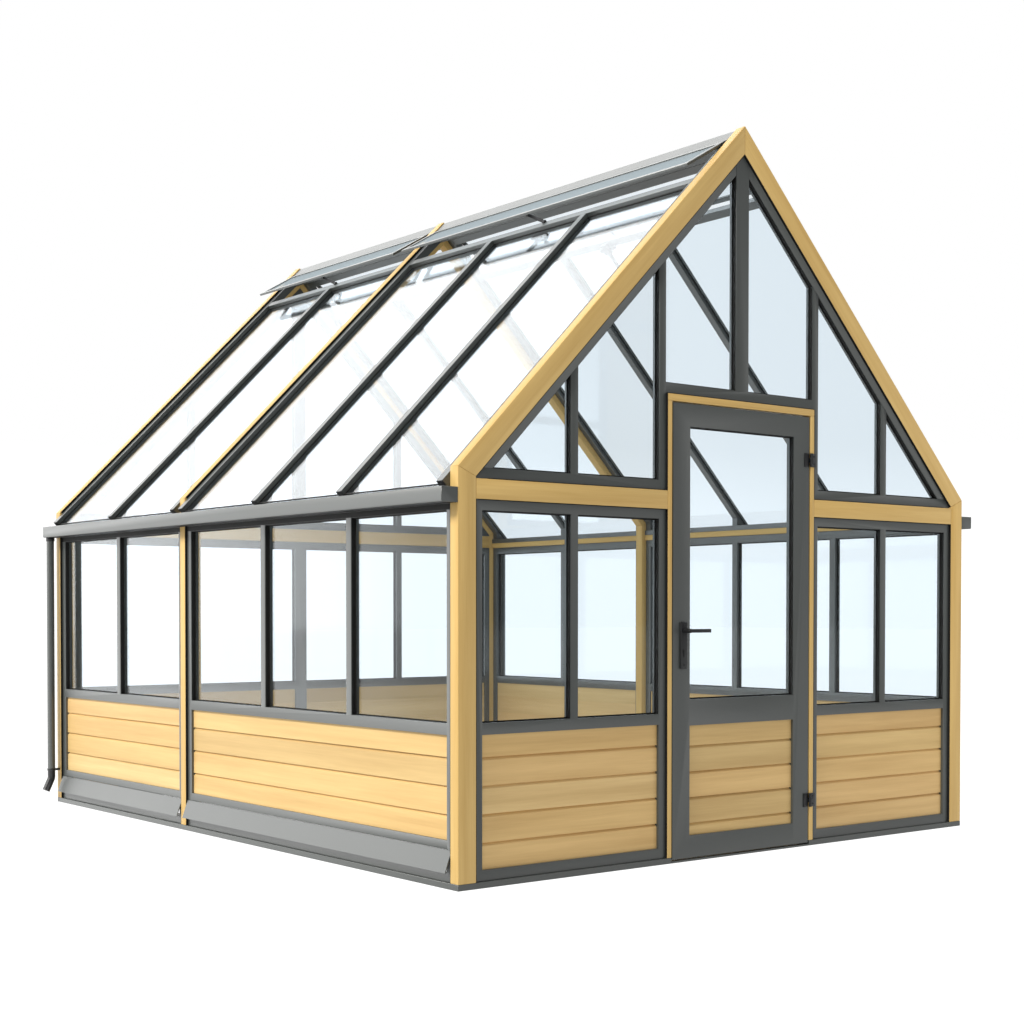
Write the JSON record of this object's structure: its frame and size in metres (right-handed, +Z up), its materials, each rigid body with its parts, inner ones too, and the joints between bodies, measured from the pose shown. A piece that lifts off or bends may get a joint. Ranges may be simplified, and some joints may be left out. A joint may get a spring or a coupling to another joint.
{
  "type": "wooden greenhouse",
  "caption": "Timber-framed greenhouse with a steep glass roof, boarded lower walls, ridge vents propped open, box gutters and a hinged glazed door in the gable.",
  "frame": {"origin": "on the ground, under the middle of the whole object", "axes": "+Z up, +Y from the door gable to the back gable, +X to the right as seen from the door"},
  "size_m": [3.2396, 3.7214, 3.105],
  "materials": {
    "timber": "satin",
    "cladding": "satin",
    "grey_metal": "satin",
    "black_fittings": "satin",
    "glass": "clear"
  },
  "bodies": {
    "building": {"back_bars": "grey_metal", "back_boards": "cladding", "back_glass": "glass", "back_rails": "grey_metal", "base_vent_flaps": "grey_metal", "door_head": "timber", "door_jambs": "timber", "door_threshold": "grey_metal", "downpipes": "grey_metal", "eaves_beams": "timber", "frame_hinges": "black_fittings", "front_bars": "grey_metal", "front_boards": "cladding", "front_glass": "glass", "front_rails": "grey_metal", "gable_ties": "timber", "left_bars": "grey_metal", "left_boards": "cladding", "left_glass": "glass", "left_gutter": "grey_metal", "left_posts": "timber", "left_rafters": "timber", "left_rails": "grey_metal", "left_roof_bars": "grey_metal", "left_roof_glass": "glass", "left_roof_rails": "grey_metal", "plinth_ends": "grey_metal", "plinth_sides": "grey_metal", "raked_bars": "grey_metal", "ridge_beams": "grey_metal", "ridge_caps": "grey_metal", "right_bars": "grey_metal", "right_boards": "cladding", "right_glass": "glass", "right_gutter": "grey_metal", "right_posts": "timber", "right_rafters": "timber", "right_rails": "grey_metal", "right_roof_bars": "grey_metal", "right_roof_glass": "glass", "right_roof_rails": "grey_metal", "roof_bar_feet": "grey_metal", "vent_glass": "glass", "vent_openers": "black_fittings", "vent_rails": "grey_metal", "vent_stiles": "grey_metal"},
    "door": {"door_stiles": "grey_metal", "door_rails": "grey_metal", "door_boards": "cladding", "door_glass": "glass", "leaf_hinges": "black_fittings", "handle_plates": "black_fittings"},
    "handle": {"handle_levers": "black_fittings"}
  },
  "joints": [
    {"name": "door_hinge", "type": "hinge", "parent": "building", "child": "door", "pos_m": [0.422, -1.8173, 0.957], "axis": [0, 0, 1], "range_deg": [0, 110]},
    {"name": "handle_turn", "type": "hinge", "parent": "door", "child": "handle", "pos_m": [-0.359, -1.8073, 0.961], "axis": [0, 1, 0], "range_deg": [0, 40], "stiffness_Nm_per_rad": 1.5, "springref_deg": -34.38}
  ]
}
